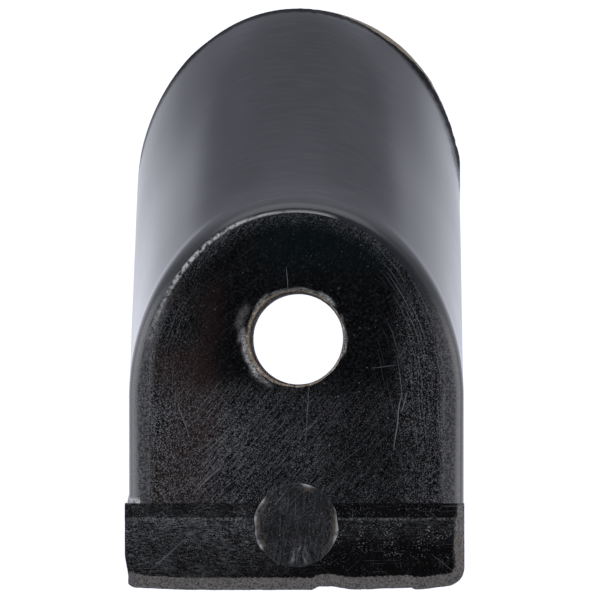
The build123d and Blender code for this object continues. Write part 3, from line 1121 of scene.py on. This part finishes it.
def sleeve_look():
    look = Look("brown_lining")
    fine = look.noise(0.16, 4.0, 0.7, 41)
    colour = look.mix(
        look.step(look.noise(1.6, 2.0, 0.5, 42), 0.3, 0.7), (0.22, 0.172, 0.138), (0.36, 0.305, 0.250)
    )
    pale = look.step(look.noise(0.22, 2.0, 0.6, 43), 0.52, 0.64)
    colour = look.mix(look.both(pale, 0.85), colour, (0.58, 0.54, 0.49))
    colour = look.mix(look.both(look.step(fine, 0.50, 0.38), 0.85), colour, (0.030, 0.022, 0.018))
    # The inside wall is painted darker than the lip, as shade down inside the bore
    reach = look.math("SQRT", look.math("ADD", look.both(look.x, look.x), look.both(look.y, look.y)))
    inside = look.step(reach, hole_r + 0.10, hole_r + 0.04)
    colour = look.mix(look.both(inside, 0.55), colour, (0.060, 0.045, 0.036))
    look.shader.inputs["Specular IOR Level"].default_value = 0.2
    return look.finish(colour, look.line(fine, 0.25, 0.55), fine, 0.08, 1.3)


def pad_look():
    look = Look("tan_layer")
    fine = look.noise(0.14, 4.0, 0.7, 51)
    colour = look.mix(look.noise(1.8, 3.0, 0.5, 52), (0.200, 0.165, 0.138), (0.330, 0.290, 0.250))
    colour = look.mix(look.both(look.step(fine, 0.45, 0.3), 0.7), colour, (0.070, 0.052, 0.042))
    fibres = look.scratches(75, 0.22, 0.05, 1.6, 0.5, 31.0, 0.5)
    colour = look.mix(look.both(fibres, 0.35), colour, (0.34, 0.30, 0.26))
    return look.finish(colour, look.line(fine, 0.2, 0.68), fine, 0.08)


def dress(piece, node, material):
    """Puts a piece in the CAD node's place, on the part's one body, with its own finish."""
    piece.data.materials.clear()
    piece.data.materials.append(material)
    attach(piece, "root")
    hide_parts(node)


dress(wedge, "wedge_body", body_look())
dress(bar, "foot_bar", bar_look())
dress(pin, "foot_pin", pin_look())
dress(sleeve, "bore_sleeve", sleeve_look())
dress(pad, "base_pad", pad_look())


# ---------------------------------------------------------------- floor, light and camera

FLOOR_REACH, FLOOR_DROP = 3.0, 0.00002  # metres from the origin to the floor's sides, and down to the floor
LIGHT_AIM = Vector((0, 0, 0.01))  # in metres


def make_floor():
    """A pale glowing table, brighter beside both flanks and darker beyond the thin end."""
    mesh = bpy.data.meshes.new("floor")
    corners = [(-1, -1), (1, -1), (1, 1), (-1, 1)]
    points = [(x * FLOOR_REACH, y * FLOOR_REACH, -FLOOR_DROP) for x, y in corners]
    mesh.from_pydata(points, [], [(0, 1, 2, 3)])
    floor = add_object("floor", mesh)
    look = Look("pale_table")
    beyond = look.both(look.step(look.y, 26.6, 30.5), look.step(look.y, 62.0, 52.0))
    middle = look.step(look.math("ABSOLUTE", look.x), 38.0, 16.0)
    beside = look.step(look.y, 34.0, 24.0)
    left = look.both(look.step(look.x, -14.0, -21.0), beside)
    right = look.both(look.step(look.x, 15.0, 21.0), beside)
    glow = look.line(look.both(beyond, middle), -0.46, 1.095)
    glow = look.line(left, 0.75, look.line(right, 0.34, glow))
    look.feed(look.shader.inputs["Base Color"], (0.06, 0.06, 0.06))
    look.shader.inputs["Roughness"].default_value = 0.9
    look.shader.inputs["Specular IOR Level"].default_value = 0.0
    look.feed(look.shader.inputs["Emission Color"], (0.93, 0.95, 1.06))
    look.feed(look.shader.inputs["Emission Strength"], glow)
    mesh.materials.append(look.material)


def softbox(name, place, size, power, colour):
    """A rectangular studio light that points from place, in metres, to the middle of the part."""
    lamp = bpy.data.lights.new(name, "AREA")
    lamp.shape = "RECTANGLE"
    lamp.size, lamp.size_y = size
    lamp.energy = power
    lamp.color = colour
    light = add_object(name, lamp)
    light.location = place
    light.rotation_euler = (LIGHT_AIM - Vector(place)).to_track_quat("-Z", "Y").to_euler()


def make_world():
    """Soft light from all round the horizon, fading to a dark ceiling over the part."""
    world = bpy.data.worlds.new("studio")
    bpy.context.scene.world = world
    world.use_nodes = True
    tree = world.node_tree
    place = tree.nodes.new("ShaderNodeTexCoord")
    split = tree.nodes.new("ShaderNodeSeparateXYZ")
    fade = tree.nodes.new("ShaderNodeMapRange")
    fade.interpolation_type = "SMOOTHSTEP"
    for key, value in (("From Min", 0.35), ("From Max", 0.86), ("To Min", 0.90), ("To Max", 0.0)):
        fade.inputs[key].default_value = value
    back = next(n for n in tree.nodes if n.type == "BACKGROUND")
    back.inputs["Color"].default_value = (0.95, 0.975, 1.0, 1.0)
    tree.links.new(place.outputs["Generated"], split.inputs[0])
    tree.links.new(split.outputs[2], fade.inputs[0])
    tree.links.new(fade.outputs[0], back.inputs["Strength"])


def make_camera():
    """Looks almost straight down the screw hole, from far off, with the thin end up."""
    eye = Vector((4.7, -2.2, 684)) * MM
    aim = Vector((0.2, 3.0, top_z / 2)) * MM
    lens = bpy.data.cameras.new("camera")
    lens.sensor_width = 36
    lens.lens = 521.6
    lens.clip_start, lens.clip_end = 0.05, 20
    camera = add_object("camera", lens)
    look_along = (aim - eye).normalized()
    across = look_along.cross(Vector((0, 1, 0))).normalized()
    up = across.cross(look_along)
    turn = Matrix((across, up, -look_along)).transposed()
    camera.matrix_world = Matrix.Translation(eye) @ turn.to_4x4()
    bpy.context.scene.camera = camera


make_floor()
make_world()
softbox("left_softbox", (-0.45, 0.05, 0.30), (0.35, 0.5), 1.5, (0.92, 0.95, 1.0))
softbox("right_softbox", (0.45, 0.0, 0.32), (0.30, 0.4), 1.0, (0.96, 0.97, 1.0))
softbox("back_softbox", (0, 0.45, 0.22), (0.60, 0.34), 0.95, (0.98, 0.98, 1.0))
make_camera()
bpy.context.scene.view_settings.view_transform = "Standard"
